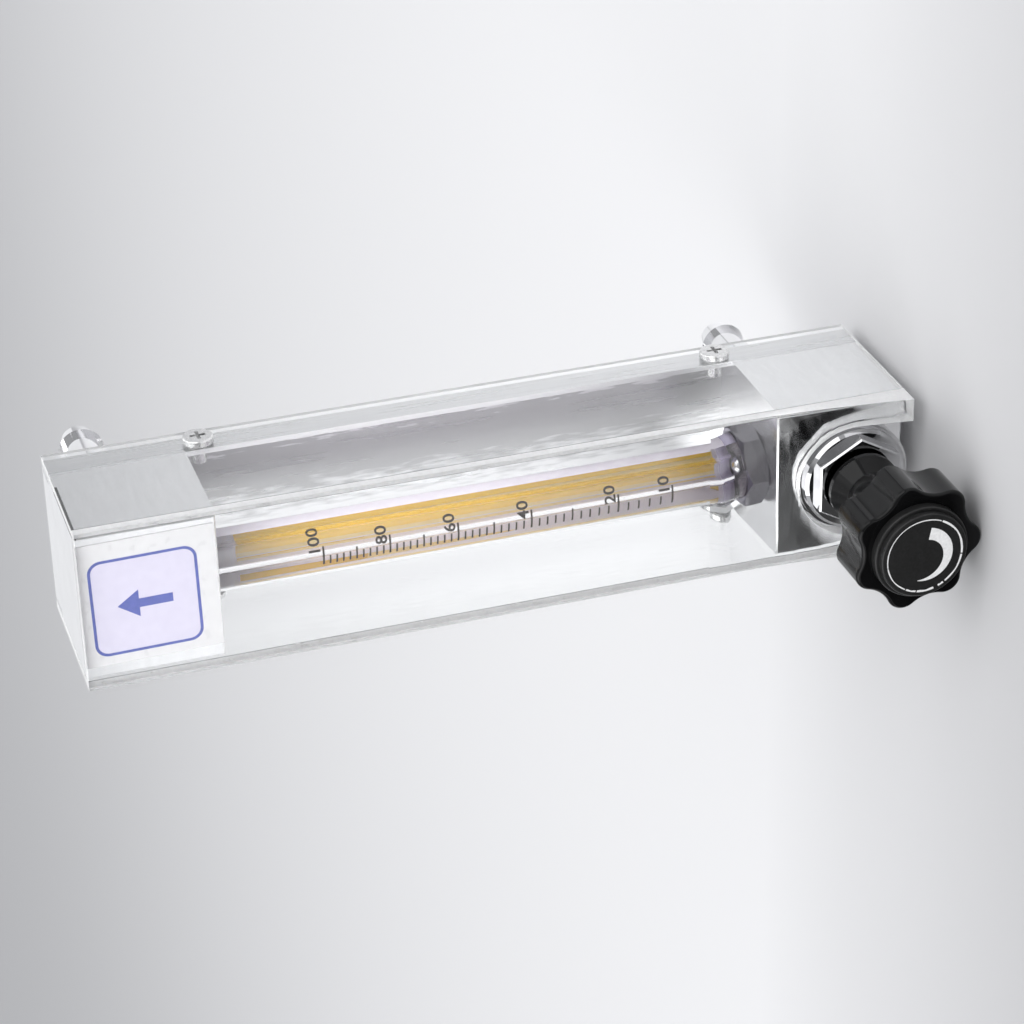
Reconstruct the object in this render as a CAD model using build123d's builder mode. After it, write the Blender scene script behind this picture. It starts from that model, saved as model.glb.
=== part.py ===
"""Small glass-tube flow meter with a needle valve, for mounting on a panel by its two rear ports.

Millimetres. +Z runs up the meter tube, the scale and the valve knob face -Y, and the origin is
where the tube's axis meets the plane that the meter stands on.
"""

import os
from math import cos, pi, radians, sin, sqrt

from build123d import *

# Clear cover and back channel
cover_height = 160.0
cover_width = 32.6
cover_depth = 31.8
front_wall = 2.0
side_wall = 1.5
tube_setback = 11.8
lip_swell = 3.0
lip_length = 40.0
slot_clearance = 0.6
channel_sheet = 1.0
channel_bend = 0.5
flange_depth = 6.8

# Blocks and label
block_length = 25.8
block_side_gap = 0.2
block_front_gap = 0.25
flange_gap = 0.15
block_edge_break = 0.3
label_width = 25.2
label_margin = 0.3
label_thickness = 0.15
label_shift = 0.5
label_turn = 0.8

# Meter tube, float and their seals
tube_radius = 5.5
tube_foot_rise = 0.9
socket_depth = 3.8
bore_foot_radius = 1.56
bore_top_radius = 2.0
tube_edge_break = 0.4
float_radius = 1.5
float_side_gap = 0.03
stop_height = 1.8
stop_hole_radius = 0.8
stripe_foot_rise = 7.3
stripe_top_drop = 9.5
stripe_half_angle = 34.0
stripe_thickness = 0.12
fit_gap = 0.05
gasket_thickness = 0.6
gasket_hole_radius = 1.7
passage_radius = 1.5
seal_section_radius = 0.9
seal_setback = 2.2

# Hex clamp screw under the tube
clamp_flats = 12.6
clamp_height = 4.4
clamp_thread_radius = 4.95
clamp_web = 1.25
cup_side_gap = 0.15
relief = 0.6

# Needle valve
valve_z = 10.4
flange_radius = 11.0
flange_step_radius = 10.35
flange_step = 1.65
flange_height = 3.15
valve_nut_flats = 16.4
valve_nut_height = 1.9
nut_edge_break = 0.3
bonnet_radius = 6.5
bonnet_neck_radius = 6.1
bonnet_depth = 6.5
chamber_radius = 3.5
chamber_depth = 6.9
seat_radius = 3.0
seat_length = 4.0
orifice_radius = 1.0
seat_mouth_radius = 1.5
needle_tip_radius = 0.35
stem_radius = 2.0
stem_thread_radius = 2.5
stem_thread_length = 6.0
running_gap = 0.04
seal_groove_depth = 0.35
seal_groove_width = 1.4
seal_groove_setback = 0.7
seal_bore_radius = 2.9
valve_lift = 2.5

# Knob
knob_gap = 1.1
hub_length = 15.0
hub_radius = 7.0
hub_waist_radius = 5.0
hub_collar = 1.0
hub_cone = 3.1
knob_thickness = 10.1
knob_tip_radius = 12.85
knob_valley_radius = 10.95
knob_lobes = 7
lobe_round = 3.2
knob_turn_angle = 12.0
knob_edge_round = 0.7
stem_grip = 13.0
cap_seat_depth = 0.6
cap_radius = 9.3
cap_step_radius = 8.5
cap_rim_height = 1.7
cap_height = 3.0
cap_round = 0.35
grub_radius = 1.5
grub_setback = 8.0
grub_socket_depth = 1.5

# Rear ports
inlet_z = 13.1
outlet_drop = 12.0
port_thread_radius = 5.0
port_thread_depth = 7.0
port_bore_radius = 2.2
port_well_depth = 2.4
stud_length = 13.0
stud_undercut = 0.6
spanner_flats = 8.6
spanner_length = 3.0
tail_radius = 3.5
barb_radius = 4.5
neck_length = 14.5
tail_lead = 4.0
tail_end_radius = 3.3
web_hole_gap = 0.3

# Cover screws
screw_radius = 1.45
screw_hole_gap = 0.25
screw_length = 5.0
screw_head_radius = 2.95
screw_head_height = 1.2
screw_head_round = 0.45
cross_width = 0.7
cross_length = 3.0
cross_depth = 0.8
screw_setback = 4.4
screw_offset = 2.9

# Countersunk screws that hold the channel to the blocks
block_screw_length = 8.0
block_screw_head_radius = 2.7
block_screw_reach = 9.5

# Places worked out from the sizes above
front_y = -tube_setback
wall_inner_y = front_y + front_wall
back_y = cover_depth - tube_setback
web_y = back_y - channel_sheet
half_width = cover_width / 2
inner_half_width = half_width - side_wall
block_half_width = inner_half_width - block_side_gap
block_back_half_width = inner_half_width - channel_sheet - flange_gap
block_front_y = wall_inner_y + block_front_gap
upper_block_z = cover_height - block_length
flange_front_y = back_y - flange_depth

tube_foot_z = block_length + tube_foot_rise
tube_top_z = upper_block_z + socket_depth
outlet_z = cover_height - outlet_drop
clamp_floor_z = tube_foot_z - gasket_thickness
clamp_bore_z = valve_z + bonnet_radius + fit_gap + clamp_web
clamp_thread_end_z = clamp_bore_z + relief
port_floor_y = web_y - port_thread_depth - gasket_thickness

bonnet_floor_y = block_front_y + bonnet_depth + gasket_thickness
seat_front_y = bonnet_floor_y + chamber_depth
seat_back_y = seat_front_y + seat_length
flange_front_face_y = block_front_y - flange_height
nut_front_y = flange_front_face_y - valve_nut_height
hub_back_y = nut_front_y - knob_gap
knob_back_y = hub_back_y - hub_length
knob_front_y = knob_back_y - knob_thickness
slot_radius = flange_radius + slot_clearance
screw_y = back_y - screw_setback
screw_heights = (block_length + screw_offset, upper_block_z - screw_offset)

block_screw_planes = {
    end: [Plane(origin=(side * block_screw_reach, back_y, z), z_dir=(0, 1, 0)) for side in (-1, 1)]
    for end, z in (("lower", inlet_z), ("upper", outlet_z))
}

hex_corner = 2 / sqrt(3)
valve_plane = Plane(origin=(0, 0, valve_z), x_dir=(0, 1, 0), z_dir=(1, 0, 0))
valve_axis = Axis((0, 0, valve_z), (0, 1, 0))


def facing_front(y, z=0.0):
    """A plane that looks along -Y, with its own x to the right and y up."""
    return Plane(origin=(0, y, z), x_dir=(1, 0, 0), z_dir=(0, -1, 0))


def block_screw_holes(end):
    """Countersunk holes for one block's two screws, cut from the web's back face."""
    with Locations(*block_screw_planes[end]):
        CounterSinkHole(
            screw_radius + fit_gap, block_screw_head_radius + fit_gap, block_screw_length + relief, 90
        )


def keep(piece, name):
    """Label a finished piece and write it to its file."""
    piece.part.label = name
    export_step(piece.part, f"parts/{name}.step")


os.makedirs("parts", exist_ok=True)

# Back channel: folded sheet, its web behind the blocks and its flanges forward inside the side walls
with BuildPart() as back_channel:
    with BuildSketch():
        with BuildLine():
            FilletPolyline(
                (-inner_half_width + channel_sheet / 2, flange_front_y),
                (-inner_half_width + channel_sheet / 2, back_y - channel_sheet / 2),
                (inner_half_width - channel_sheet / 2, back_y - channel_sheet / 2),
                (inner_half_width - channel_sheet / 2, flange_front_y),
                radius=channel_bend + channel_sheet / 2,
            )
        trace(line_width=channel_sheet)
    extrude(amount=cover_height)
    with BuildSketch(facing_front(back_y)):
        with Locations((0, inlet_z), (0, outlet_z)):
            Circle(port_thread_radius + web_hole_gap)
    extrude(amount=channel_sheet, mode=Mode.SUBTRACT)
    with BuildSketch(Plane.YZ.offset(-inner_half_width)):
        with Locations(*[(screw_y, z) for z in screw_heights]):
            Circle(screw_radius + fit_gap)
    extrude(amount=2 * inner_half_width, mode=Mode.SUBTRACT)
    block_screw_holes("lower")
    block_screw_holes("upper")
keep(back_channel, "back_channel")

# Front wall: one plate across the full width, thicker towards its foot and slotted for the valve
with BuildPart() as cover_front_plate:
    with BuildSketch(Plane.YZ.offset(-half_width)):
        with BuildLine():
            face = Line((front_y, cover_height), (front_y, lip_length))
            TangentArc(face @ 1, (front_y - lip_swell, 0), tangent=face % 1)
            Polyline((front_y - lip_swell, 0), (wall_inner_y, 0), (wall_inner_y, cover_height), face @ 0)
        make_face()
    extrude(amount=cover_width)
    with BuildSketch(facing_front(wall_inner_y, valve_z)):
        Circle(slot_radius)
        with Locations((0, -valve_z)):
            Rectangle(2 * slot_radius, 2 * valve_z)
    extrude(amount=front_wall + lip_swell, mode=Mode.SUBTRACT)
keep(cover_front_plate, "cover_front_plate")

# Side walls: plain plates bonded behind the front wall and screwed to the flanges
for side, name in ((1, "cover_right_plate"), (-1, "cover_left_plate")):
    with BuildPart() as cover_side_plate:
        with BuildSketch(Plane.YZ.offset(side * inner_half_width)):
            with Locations(((wall_inner_y + back_y) / 2, cover_height / 2)):
                Rectangle(back_y - wall_inner_y, cover_height)
            with Locations(*[(screw_y, z) for z in screw_heights]):
                Circle(screw_radius + screw_hole_gap, mode=Mode.SUBTRACT)
        extrude(amount=side * side_wall)
    keep(cover_side_plate, name)

# Cover screws: pan heads with a cross recess, two on each side
for side, name in ((1, "cover_screws_right"), (-1, "cover_screws_left")):
    with BuildPart() as cover_screws:
        for z in screw_heights:
            head_plane = Plane(origin=(side * half_width, screw_y, z), x_dir=(0, 1, 0), z_dir=(side, 0, 0))
            with BuildSketch(head_plane):
                Circle(screw_head_radius)
            extrude(amount=screw_head_height)
            with BuildSketch(head_plane):
                Circle(screw_radius)
            extrude(amount=-screw_length)
        head_rims = cover_screws.edges().filter_by(GeomType.CIRCLE).filter_by(
            lambda rim: abs(abs(rim.center().X) - half_width - screw_head_height) < fit_gap
        )
        fillet(head_rims, screw_head_round)
        for z in screw_heights:
            recess_plane = Plane(
                origin=(side * (half_width + screw_head_height), screw_y, z), x_dir=(0, 1, 0), z_dir=(side, 0, 0)
            )
            with BuildSketch(recess_plane):
                Rectangle(cross_length, cross_width)
                Rectangle(cross_width, cross_length)
            extrude(amount=-cross_depth, mode=Mode.SUBTRACT)
    keep(cover_screws, name)

# Lower block: valve chamber from the front, inlet from the back, tube clamp from above
with BuildPart() as lower_block:
    with BuildSketch():
        with Locations((0, (block_front_y + flange_front_y) / 2)):
            Rectangle(2 * block_half_width, flange_front_y - block_front_y)
        with Locations((0, (flange_front_y + web_y) / 2)):
            Rectangle(2 * block_back_half_width, web_y - flange_front_y)
    extrude(amount=block_length)
    fillet(lower_block.edges().filter_by(Axis.Z).group_by(Axis.Y)[-1], channel_bend)
    chamfer(lower_block.edges().group_by(Axis.Y)[0], block_edge_break)
    with BuildSketch(valve_plane):
        with BuildLine():
            Polyline(
                (block_front_y - relief, 0),
                (block_front_y - relief, bonnet_radius + fit_gap),
                (bonnet_floor_y, bonnet_radius + fit_gap),
                (bonnet_floor_y, chamber_radius),
                (seat_front_y, chamber_radius),
                (seat_front_y, seat_radius),
                (seat_back_y, seat_radius),
                (seat_back_y, passage_radius),
                (port_floor_y, passage_radius),
                (port_floor_y, 0),
                close=True,
            )
        make_face()
    revolve(axis=valve_axis, mode=Mode.SUBTRACT)
    with BuildSketch(facing_front(port_floor_y, inlet_z)):
        Circle(port_thread_radius + fit_gap)
    extrude(amount=port_floor_y - web_y, mode=Mode.SUBTRACT)
    with BuildSketch(facing_front(port_floor_y, inlet_z)):
        Circle(port_bore_radius)
    extrude(amount=port_well_depth, mode=Mode.SUBTRACT)
    with BuildSketch(Plane.XY.offset(clamp_bore_z)):
        Circle(clamp_thread_radius + fit_gap)
    extrude(amount=block_length - clamp_bore_z, mode=Mode.SUBTRACT)
    with BuildSketch(Plane.XY.offset(valve_z)):
        Circle(passage_radius)
    extrude(amount=clamp_bore_z - valve_z, mode=Mode.SUBTRACT)
    block_screw_holes("lower")
keep(lower_block, "lower_block")

# Upper block: tube socket from below with a seal groove, outlet from the back
socket_top_z = tube_top_z + gasket_thickness
socket_radius = tube_radius + cup_side_gap
seal_z = upper_block_z + seal_setback
with BuildPart() as upper_block:
    with BuildSketch(Plane.XY.offset(upper_block_z)):
        with Locations((0, (block_front_y + flange_front_y) / 2)):
            Rectangle(2 * block_half_width, flange_front_y - block_front_y)
        with Locations((0, (flange_front_y + web_y) / 2)):
            Rectangle(2 * block_back_half_width, web_y - flange_front_y)
    extrude(amount=block_length)
    fillet(upper_block.edges().filter_by(Axis.Z).group_by(Axis.Y)[-1], channel_bend)
    chamfer(upper_block.edges().group_by(Axis.Y)[0], block_edge_break)
    with BuildSketch(Plane.XZ):
        with BuildLine():
            Polyline(
                (0, upper_block_z - relief),
                (socket_radius, upper_block_z - relief),
                (socket_radius, seal_z - seal_section_radius),
                (tube_radius + 2 * seal_section_radius, seal_z - seal_section_radius),
                (tube_radius + 2 * seal_section_radius, seal_z + seal_section_radius),
                (socket_radius, seal_z + seal_section_radius),
                (socket_radius, socket_top_z),
                (passage_radius, socket_top_z),
                (passage_radius, outlet_z),
                (0, outlet_z),
                close=True,
            )
        make_face()
    revolve(axis=Axis.Z, mode=Mode.SUBTRACT)
    with BuildSketch(facing_front(port_floor_y, outlet_z)):
        Circle(port_thread_radius + fit_gap)
    extrude(amount=port_floor_y - web_y, mode=Mode.SUBTRACT)
    with BuildSketch(facing_front(-passage_radius, outlet_z)):
        Circle(passage_radius)
    extrude(amount=-passage_radius - port_floor_y, mode=Mode.SUBTRACT)
    block_screw_holes("upper")
keep(upper_block, "upper_block")

# Block screws: countersunk heads flush with the web, two to each block
for end, planes in block_screw_planes.items():
    with BuildPart() as block_screws:
        for plane in planes:
            with BuildSketch(plane):
                Circle(block_screw_head_radius)
            extrude(amount=-(block_screw_head_radius - screw_radius), taper=45)
            with BuildSketch(plane):
                Circle(screw_radius)
            extrude(amount=-block_screw_length)
            with BuildSketch(plane):
                Rectangle(cross_length, cross_width)
                Rectangle(cross_width, cross_length)
            extrude(amount=-cross_depth, mode=Mode.SUBTRACT)
    keep(block_screws, f"{end}_block_screws")

# Label: a thin plate stuck on the upper block, a little turned
with BuildPart() as label_plate:
    with BuildSketch(facing_front(block_front_y, upper_block_z + block_length / 2)):
        with Locations((label_shift, 0)):
            Rectangle(label_width, block_length - 2 * label_margin, rotation=label_turn)
    extrude(amount=label_thickness)
keep(label_plate, "label_plate")

# Meter tube: thick glass with a bore that widens upwards
with BuildPart() as glass_tube:
    with BuildSketch(Plane.XZ):
        with BuildLine():
            Polyline(
                (bore_foot_radius, tube_foot_z),
                (tube_radius - tube_edge_break, tube_foot_z),
                (tube_radius, tube_foot_z + tube_edge_break),
                (tube_radius, tube_top_z - tube_edge_break),
                (tube_radius - tube_edge_break, tube_top_z),
                (bore_top_radius, tube_top_z),
                close=True,
            )
        make_face()
    revolve(axis=Axis.Z)
keep(glass_tube, "glass_tube")

# Reading stripe: a fired colour band down the back of the tube
stripe_foot_z = tube_foot_z + stripe_foot_rise
stripe_top_z = tube_top_z - stripe_top_drop
with BuildPart() as reading_stripe:
    with BuildSketch(Plane.XY.offset(stripe_foot_z)):
        with BuildLine():
            inner = CenterArc((0, 0), tube_radius, 90 - stripe_half_angle, 2 * stripe_half_angle)
            outer = CenterArc((0, 0), tube_radius + stripe_thickness, 90 - stripe_half_angle, 2 * stripe_half_angle)
            Line(inner @ 0, outer @ 0)
            Line(inner @ 1, outer @ 1)
        make_face()
    extrude(amount=stripe_top_z - stripe_foot_z)
keep(reading_stripe, "reading_stripe")

# Float stops: plugs in the two ends of the bore, each with a hole for the flow
stop_top_z = tube_foot_z + stop_height
upper_stop_z = tube_top_z - stop_height
for name, foot, radius in (
    ("lower_float_stop", tube_foot_z, bore_foot_radius),
    ("upper_float_stop", upper_stop_z, bore_top_radius - fit_gap),
):
    with BuildPart() as float_stop:
        with BuildSketch(Plane.XY.offset(foot)):
            Circle(radius)
            Circle(stop_hole_radius, mode=Mode.SUBTRACT)
        extrude(amount=stop_height)
    keep(float_stop, name)

# Float: a ball at rest on the lower stop
float_z = stop_top_z + sqrt(float_radius**2 - stop_hole_radius**2) + float_side_gap
with BuildPart(Plane.XY.offset(float_z)) as float_ball:
    Sphere(float_radius)
keep(float_ball, "float_ball")

# Hex clamp screw: its cup holds the tube's foot and its thread runs down into the lower block
with BuildPart() as tube_clamp_screw:
    with BuildSketch(Plane.XY.offset(block_length)):
        RegularPolygon(clamp_flats / 2, 6, major_radius=False, rotation=30)
    extrude(amount=clamp_height)
    with BuildSketch(Plane.XZ):
        with BuildLine():
            Polyline(
                (0, block_length),
                (clamp_flats / 2, block_length),
                (clamp_flats / 2 * hex_corner, block_length + relief),
                (clamp_flats / 2 * hex_corner, block_length + clamp_height - relief),
                (clamp_flats / 2, block_length + clamp_height),
                (0, block_length + clamp_height),
                close=True,
            )
        make_face()
    revolve(axis=Axis.Z, mode=Mode.INTERSECT)
    with BuildSketch(Plane.XY.offset(block_length)):
        Circle(clamp_thread_radius)
    extrude(amount=clamp_thread_end_z - block_length)
    with BuildSketch(Plane.XY.offset(clamp_floor_z)):
        Circle(tube_radius + cup_side_gap)
    extrude(amount=block_length + clamp_height - clamp_floor_z, mode=Mode.SUBTRACT)
    with BuildSketch(Plane.XY.offset(clamp_floor_z)):
        Circle(passage_radius)
    extrude(amount=clamp_thread_end_z - clamp_floor_z, mode=Mode.SUBTRACT)
keep(tube_clamp_screw, "tube_clamp_screw")

# Flat gaskets under and over the tube's ground ends
for name, foot in (("lower_tube_gasket", clamp_floor_z), ("upper_tube_gasket", tube_top_z)):
    with BuildPart() as tube_gasket:
        with BuildSketch(Plane.XY.offset(foot)):
            Circle(tube_radius - fit_gap)
            Circle(gasket_hole_radius, mode=Mode.SUBTRACT)
        extrude(amount=gasket_thickness)
    keep(tube_gasket, name)

# Seal ring round the tube in the upper socket
with BuildPart() as upper_tube_seal:
    with BuildSketch(Plane.XZ):
        with Locations((tube_radius + seal_section_radius, seal_z)):
            Circle(seal_section_radius - fit_gap / 2)
    revolve(axis=Axis.Z)
keep(upper_tube_seal, "upper_tube_seal")

# Valve flange: a stepped round collar that stands in the front wall's slot
with BuildPart() as valve_flange:
    with BuildSketch(valve_plane):
        with BuildLine():
            Polyline(
                (block_front_y, bonnet_radius + fit_gap),
                (block_front_y, flange_radius),
                (block_front_y - flange_step, flange_radius),
                (block_front_y - flange_step, flange_step_radius),
                (flange_front_face_y + relief, flange_step_radius),
                (flange_front_face_y, flange_step_radius - relief),
                (flange_front_face_y, bonnet_radius + fit_gap),
                close=True,
            )
        make_face()
    revolve(axis=valve_axis)
keep(valve_flange, "valve_flange")

# Valve nut: a thin hexagon that clamps the flange
with BuildPart() as valve_nut:
    with BuildSketch(facing_front(flange_front_face_y, valve_z)):
        RegularPolygon(valve_nut_flats / 2, 6, major_radius=False)
        Circle(bonnet_neck_radius + fit_gap, mode=Mode.SUBTRACT)
    extrude(amount=valve_nut_height)
    chamfer(valve_nut.faces().sort_by(Axis.Y)[0].outer_wire().edges(), nut_edge_break)
keep(valve_nut, "valve_nut")

# Bonnet: the valve's turned body, with a thread for the stem and a smooth bore for its seal ring
bonnet_back_y = bonnet_floor_y - gasket_thickness
stem_thread_front_y = bonnet_back_y - stem_thread_length
with BuildPart() as valve_bonnet:
    with BuildSketch(valve_plane):
        with BuildLine():
            Polyline(
                (bonnet_back_y, stem_thread_radius + running_gap),
                (bonnet_back_y, bonnet_radius),
                (flange_front_face_y, bonnet_radius),
                (flange_front_face_y, bonnet_neck_radius),
                (nut_front_y, bonnet_neck_radius),
                (nut_front_y, seal_bore_radius),
                (stem_thread_front_y, seal_bore_radius),
                (stem_thread_front_y, stem_thread_radius + running_gap),
                close=True,
            )
        make_face()
    revolve(axis=valve_axis)
keep(valve_bonnet, "valve_bonnet")

# Gasket between the bonnet and the floor of its bore
with BuildPart() as bonnet_gasket:
    with BuildSketch(facing_front(bonnet_floor_y, valve_z)):
        Circle(bonnet_radius - fit_gap)
        Circle(chamber_radius, mode=Mode.SUBTRACT)
    extrude(amount=gasket_thickness)
keep(bonnet_gasket, "bonnet_gasket")

# Valve seat: a bush with the orifice that the needle closes
with BuildPart() as valve_seat:
    with BuildSketch(valve_plane):
        with BuildLine():
            Polyline(
                (seat_front_y, seat_mouth_radius),
                (seat_front_y, seat_radius - fit_gap),
                (seat_back_y, seat_radius - fit_gap),
                (seat_back_y, orifice_radius),
                (seat_front_y + seat_mouth_radius - orifice_radius, orifice_radius),
                close=True,
            )
        make_face()
    revolve(axis=valve_axis)
keep(valve_seat, "valve_seat")

# Needle stem: cone, shank, thread, seal groove and the plain end that the knob grips
needle_front_y = seat_front_y - relief
stem_front_y = hub_back_y - stem_grip
groove_back_y = stem_thread_front_y - seal_groove_setback
groove_front_y = groove_back_y - seal_groove_width
groove_radius = stem_radius - seal_groove_depth
with BuildPart() as needle_stem:
    with BuildSketch(valve_plane):
        with BuildLine():
            Polyline(
                (seat_back_y - relief, 0),
                (seat_back_y - relief, needle_tip_radius),
                (seat_front_y, orifice_radius - running_gap),
                (needle_front_y, orifice_radius - running_gap),
                (needle_front_y, stem_radius),
                (bonnet_back_y, stem_radius),
                (bonnet_back_y, stem_thread_radius),
                (stem_thread_front_y + valve_lift, stem_thread_radius),
                (stem_thread_front_y + valve_lift, stem_radius),
                (groove_back_y, stem_radius),
                (groove_back_y, groove_radius),
                (groove_front_y, groove_radius),
                (groove_front_y, stem_radius),
                (stem_front_y, stem_radius),
                (stem_front_y, 0),
                close=True,
            )
        make_face()
    revolve(axis=valve_axis)
keep(needle_stem, "needle_stem")

# Seal ring in the stem's groove, which slides with it in the bonnet's smooth bore
with BuildPart() as stem_seal_ring:
    with BuildSketch(valve_plane):
        with Locations(((groove_back_y + groove_front_y) / 2, (groove_radius + seal_bore_radius) / 2)):
            Circle((seal_bore_radius - groove_radius) / 2 - running_gap)
    revolve(axis=valve_axis)
keep(stem_seal_ring, "stem_seal_ring")


def lobed_outline():
    """Seven round lobes joined by tangent hollows, as arcs about the knob's axis."""
    step = 2 * pi / knob_lobes
    lobe_centre = knob_tip_radius - lobe_round
    inside = knob_valley_radius - lobe_round
    valley_centre = (lobe_centre**2 - inside**2) / (2 * (lobe_centre * cos(step / 2) - inside))
    valley_round = valley_centre - knob_valley_radius

    def polar(radius, angle):
        return radius * cos(angle), radius * sin(angle)

    def meeting(lobe_angle, valley_angle):
        lobe = polar(lobe_centre, lobe_angle)
        valley = polar(valley_centre, valley_angle)
        share = lobe_round / (lobe_round + valley_round)
        return lobe[0] + share * (valley[0] - lobe[0]), lobe[1] + share * (valley[1] - lobe[1])

    for lobe in range(knob_lobes):
        angle = radians(knob_turn_angle) + lobe * step
        start = meeting(angle, angle - step / 2)
        end = meeting(angle, angle + step / 2)
        following = meeting(angle + step, angle + step / 2)
        ThreePointArc(start, polar(knob_tip_radius, angle), end)
        ThreePointArc(end, polar(knob_valley_radius, angle + step / 2), following)


grub_plane = Plane(origin=(-stem_radius, hub_back_y - grub_setback, valve_z), z_dir=(-1, 0, 0))

# Knob: lobed grip with rounded rims on a long hub, bored for the stem and recessed for the cap
with BuildPart() as knob:
    with BuildSketch(facing_front(knob_back_y, valve_z)):
        with BuildLine():
            lobed_outline()
        make_face()
    extrude(amount=knob_thickness)
    front_rim = knob.faces().sort_by(Axis.Y)[0].edges()
    back_rim = knob.faces().sort_by(Axis.Y)[-1].edges()
    fillet(front_rim + back_rim, knob_edge_round)
    with BuildSketch(valve_plane):
        with BuildLine():
            Polyline(
                (knob_back_y - relief, 0),
                (knob_back_y - relief, hub_waist_radius),
                (hub_back_y - hub_collar - hub_cone, hub_waist_radius),
                (hub_back_y - hub_collar, hub_radius),
                (hub_back_y, hub_radius),
                (hub_back_y, 0),
                close=True,
            )
        make_face()
    revolve(axis=valve_axis)
    with BuildSketch(facing_front(hub_back_y, valve_z)):
        Circle(stem_radius + fit_gap)
    extrude(amount=stem_grip, mode=Mode.SUBTRACT)
    with BuildSketch(facing_front(knob_front_y, valve_z)):
        Circle(cap_radius)
    extrude(amount=-cap_seat_depth, mode=Mode.SUBTRACT)
    with BuildSketch(grub_plane):
        Circle(grub_radius + fit_gap)
    extrude(amount=hub_waist_radius, mode=Mode.SUBTRACT)
keep(knob, "knob")

# Cap: a stepped disc pressed into the knob's face
with BuildPart() as knob_cap:
    with BuildSketch(valve_plane):
        with BuildLine():
            Polyline(
                (knob_front_y + cap_seat_depth, 0),
                (knob_front_y + cap_seat_depth, cap_radius - fit_gap),
                (knob_front_y - cap_rim_height, cap_radius - fit_gap),
                (knob_front_y - cap_rim_height, cap_step_radius),
                (knob_front_y - cap_height, cap_step_radius),
                (knob_front_y - cap_height, 0),
                close=True,
            )
        make_face()
    revolve(axis=valve_axis)
    fillet(knob_cap.edges().filter_by(GeomType.CIRCLE).group_by(Axis.Y)[0], cap_round)
    fillet(knob_cap.edges().filter_by(GeomType.CIRCLE).group_by(SortBy.RADIUS)[-1].sort_by(Axis.Y)[0], cap_round)
keep(knob_cap, "knob_cap")

# Grub screw that holds the knob on the stem
grub_length = hub_waist_radius - stem_radius - fit_gap
with BuildPart() as knob_grub_screw:
    with BuildSketch(grub_plane):
        Circle(grub_radius)
    extrude(amount=grub_length)
    with BuildSketch(grub_plane.offset(grub_length)):
        RegularPolygon(grub_radius / 2, 6)
    extrude(amount=-grub_socket_depth, mode=Mode.SUBTRACT)
keep(knob_grub_screw, "knob_grub_screw")

# Rear ports: a stud that screws into the block and holds the panel, a spanner hex and a hose tail
port_end_y = web_y - port_thread_depth
stud_end_y = back_y + stud_length
tail_start_y = stud_end_y + spanner_length
rim_y = tail_start_y + neck_length
tail_end_y = rim_y + tail_lead
for side, port_z in (("inlet", inlet_z), ("outlet", outlet_z)):
    with BuildPart() as hose_tail:
        with BuildSketch(Plane(origin=(0, 0, port_z), x_dir=(0, 1, 0), z_dir=(1, 0, 0))):
            with BuildLine():
                Polyline(
                    (port_end_y, 0),
                    (port_end_y, port_thread_radius - relief),
                    (port_end_y + relief, port_thread_radius),
                    (web_y, port_thread_radius),
                    (web_y, port_thread_radius - stud_undercut),
                    (back_y, port_thread_radius - stud_undercut),
                    (back_y, port_thread_radius),
                    (stud_end_y, port_thread_radius),
                    (stud_end_y, tail_radius),
                    (rim_y, tail_radius),
                    (rim_y, barb_radius),
                    (tail_end_y, tail_end_radius),
                    (tail_end_y, 0),
                    close=True,
                )
            make_face()
        revolve(axis=Axis((0, 0, port_z), (0, 1, 0)))
        with BuildSketch(facing_front(tail_start_y, port_z)):
            RegularPolygon(spanner_flats / 2, 6, major_radius=False)
        extrude(amount=spanner_length)
        with BuildSketch(facing_front(tail_end_y, port_z)):
            Circle(port_bore_radius)
        extrude(amount=tail_end_y - port_end_y, mode=Mode.SUBTRACT)
    keep(hose_tail, f"{side}_hose_tail")

    with BuildPart() as port_gasket:
        with BuildSketch(facing_front(port_end_y, port_z)):
            Circle(port_thread_radius - fit_gap)
            Circle(port_bore_radius, mode=Mode.SUBTRACT)
        extrude(amount=gasket_thickness)
    keep(port_gasket, f"{side}_gasket")
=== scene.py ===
# %% [markdown]
# # A panel flow meter, dressed in Blender
# The CAD model gives every part its place and size. This script loads it as a fixed frame, keeps the
# parts whose shape is right and gives them real finishes, and builds new pieces where the real meter
# shows more than the CAD model does: polished clear plates, a printed scale, a marked knob.

import math
import random

import bmesh
import bpy
from mathutils import Matrix, Vector


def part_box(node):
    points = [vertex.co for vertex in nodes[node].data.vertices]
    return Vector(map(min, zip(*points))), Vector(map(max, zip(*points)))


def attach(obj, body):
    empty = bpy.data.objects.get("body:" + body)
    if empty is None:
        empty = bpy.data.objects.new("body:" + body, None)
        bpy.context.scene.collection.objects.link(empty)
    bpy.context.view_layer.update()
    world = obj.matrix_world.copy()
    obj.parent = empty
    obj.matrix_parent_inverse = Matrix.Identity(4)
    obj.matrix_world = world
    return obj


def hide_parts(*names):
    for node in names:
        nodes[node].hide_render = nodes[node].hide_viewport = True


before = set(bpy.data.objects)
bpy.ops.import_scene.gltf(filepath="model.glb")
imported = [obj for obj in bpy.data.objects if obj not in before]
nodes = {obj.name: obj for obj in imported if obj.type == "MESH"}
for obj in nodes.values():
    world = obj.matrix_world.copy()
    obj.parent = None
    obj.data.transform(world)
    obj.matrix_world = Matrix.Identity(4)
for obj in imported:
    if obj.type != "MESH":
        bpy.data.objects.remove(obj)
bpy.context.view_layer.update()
MM = 0.001


def box_mm(node):
    """The low and the high corner of a node's box, in millimetres."""
    return [Vector(corner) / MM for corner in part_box(node)]


# %% [markdown]
# The photograph looks down on the meter from its upper right, with the camera rolled over so that the
# tube runs from right to left. Three turns say that: a camera that looks along -Z is first rolled, then
# tipped up from looking at the ground, then swung round the meter. After that it only has to step back.

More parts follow.
